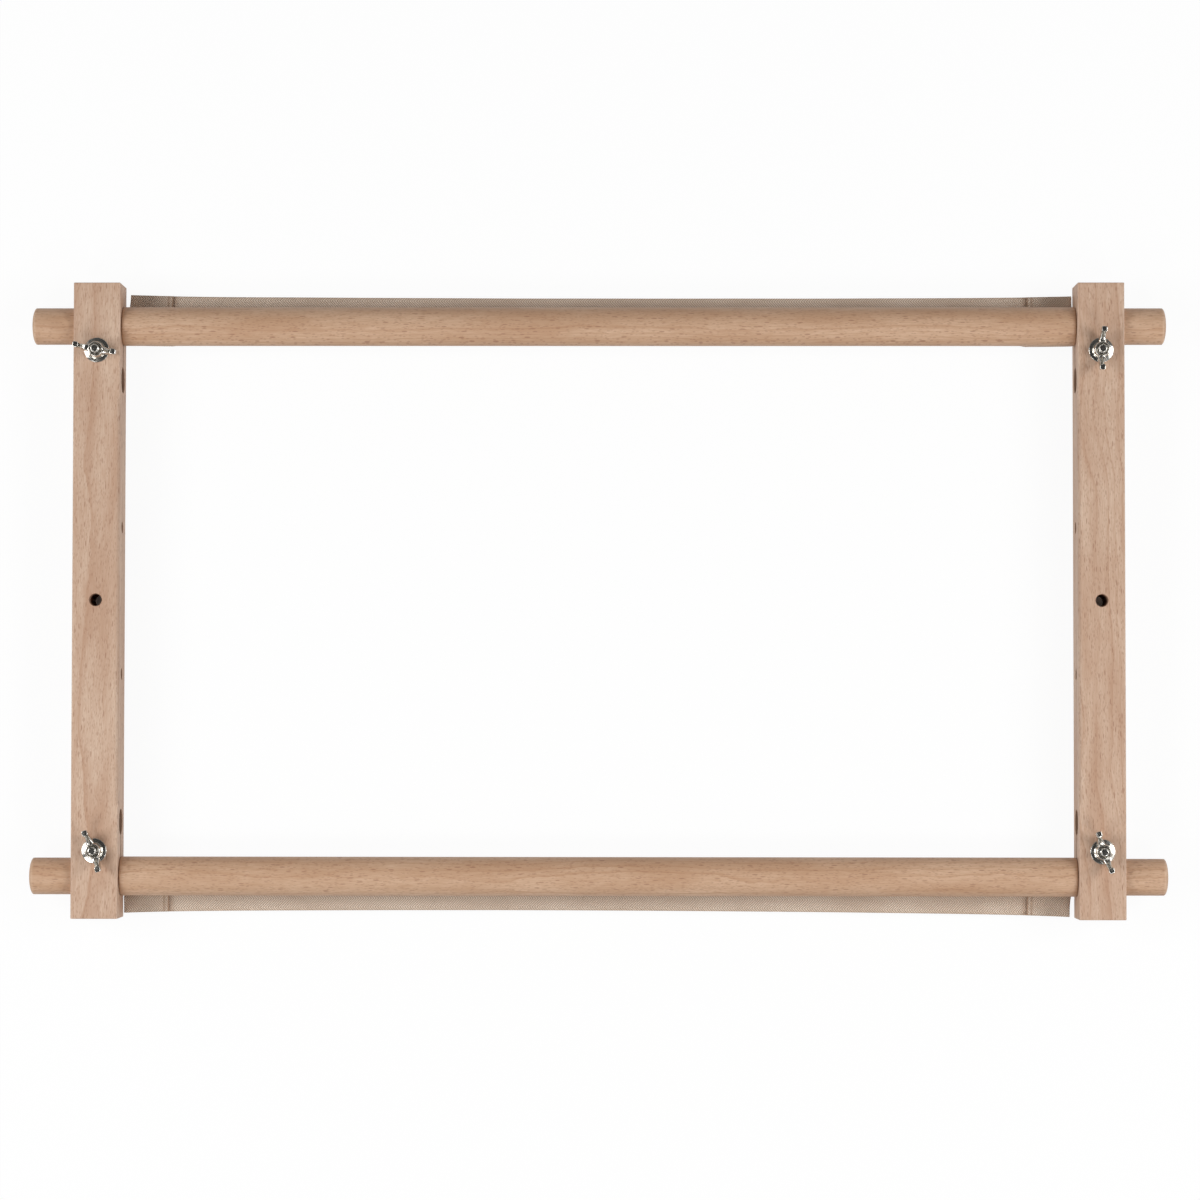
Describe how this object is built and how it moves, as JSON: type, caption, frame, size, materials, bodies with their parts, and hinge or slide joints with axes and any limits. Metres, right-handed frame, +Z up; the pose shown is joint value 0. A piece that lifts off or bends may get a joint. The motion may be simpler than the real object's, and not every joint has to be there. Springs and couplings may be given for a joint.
{
  "type": "rotating tapestry frame",
  "caption": "Hand embroidery frame of beech: two rollers with sewing tapes turn in slotted side bars and are clamped by wing nuts to stretch a canvas.",
  "frame": {"origin": "on the surface that the frame lies on, under the middle of the frame", "axes": "+X along the rollers, +Y from the bottom roller to the top one, +Z up through the front of the frame, towards the stitcher"},
  "size_m": [0.68, 0.38, 0.0455],
  "materials": {
    "beech_bar": "sanded, unvarnished",
    "beech_roller": "turned and sanded, unvarnished",
    "cotton_webbing": "herringbone twill",
    "nickel_plate": "bright nickel plate",
    "staple_wire": "drawn wire"
  },
  "bodies": {
    "left_bar": {"left_side_bar": "beech_bar", "top_left_bolt": "nickel_plate", "bottom_left_bolt": "nickel_plate"},
    "right_bar": {"right_side_bar": "beech_bar", "top_right_bolt": "nickel_plate", "bottom_right_bolt": "nickel_plate"},
    "top_roller": {"top_roller": "beech_roller", "top_tape": "cotton_webbing", "top_staples": "staple_wire"},
    "bottom_roller": {"bottom_roller": "beech_roller", "bottom_tape": "cotton_webbing", "bottom_staples": "staple_wire"},
    "top_left_washer": {"top_left_washer": "nickel_plate"},
    "top_left_wing_nut": {"top_left_wing_nut": "nickel_plate"},
    "top_right_washer": {"top_right_washer": "nickel_plate"},
    "top_right_wing_nut": {"top_right_wing_nut": "nickel_plate"},
    "bottom_left_washer": {"bottom_left_washer": "nickel_plate"},
    "bottom_left_wing_nut": {"bottom_left_wing_nut": "nickel_plate"},
    "bottom_right_washer": {"bottom_right_washer": "nickel_plate"},
    "bottom_right_wing_nut": {"bottom_right_wing_nut": "nickel_plate"}
  },
  "joints": [
    {"name": "top_roller_spin", "type": "hinge", "parent": "left_bar", "child": "top_roller", "pos_m": [0, 0.165, 0.0173], "axis": [1, 0, 0], "continuous": true},
    {"name": "bottom_roller_spin", "type": "hinge", "parent": "left_bar", "child": "bottom_roller", "pos_m": [0, -0.165, 0.0173], "axis": [1, 0, 0], "continuous": true},
    {"name": "right_bar_slide", "type": "slide", "parent": "left_bar", "child": "right_bar", "axis": [1, 0, 0], "range_m": [0, 0.06]},
    {"name": "top_left_clamp_travel", "type": "slide", "parent": "left_bar", "child": "top_left_washer", "axis": [0, 0, 1], "range_m": [0, 0.004]},
    {"name": "top_left_wing_nut_turn", "type": "hinge", "parent": "top_left_washer", "child": "top_left_wing_nut", "pos_m": [-0.3, 0.1495, 0.0313], "axis": [0, 0, 1], "range_deg": [0, 1800]},
    {"name": "top_right_clamp_travel", "type": "slide", "parent": "right_bar", "child": "top_right_washer", "axis": [0, 0, 1], "range_m": [0, 0.004]},
    {"name": "top_right_wing_nut_turn", "type": "hinge", "parent": "top_right_washer", "child": "top_right_wing_nut", "pos_m": [0.3, 0.1495, 0.0313], "axis": [0, 0, 1], "range_deg": [0, 1800]},
    {"name": "bottom_left_clamp_travel", "type": "slide", "parent": "left_bar", "child": "bottom_left_washer", "axis": [0, 0, 1], "range_m": [0, 0.004]},
    {"name": "bottom_left_wing_nut_turn", "type": "hinge", "parent": "bottom_left_washer", "child": "bottom_left_wing_nut", "pos_m": [-0.3, -0.1495, 0.0313], "axis": [0, 0, 1], "range_deg": [0, 1800]},
    {"name": "bottom_right_clamp_travel", "type": "slide", "parent": "right_bar", "child": "bottom_right_washer", "axis": [0, 0, 1], "range_m": [0, 0.004]},
    {"name": "bottom_right_wing_nut_turn", "type": "hinge", "parent": "bottom_right_washer", "child": "bottom_right_wing_nut", "pos_m": [0.3, -0.1495, 0.0313], "axis": [0, 0, 1], "range_deg": [0, 1800]}
  ],
  "couplings": [
    {"joint": "top_left_clamp_travel", "follows": "top_left_wing_nut_turn", "m_per_rad": 0.00012732},
    {"joint": "top_right_clamp_travel", "follows": "top_right_wing_nut_turn", "m_per_rad": 0.00012732},
    {"joint": "bottom_left_clamp_travel", "follows": "bottom_left_wing_nut_turn", "m_per_rad": 0.00012732},
    {"joint": "bottom_right_clamp_travel", "follows": "bottom_right_wing_nut_turn", "m_per_rad": 0.00012732}
  ]
}
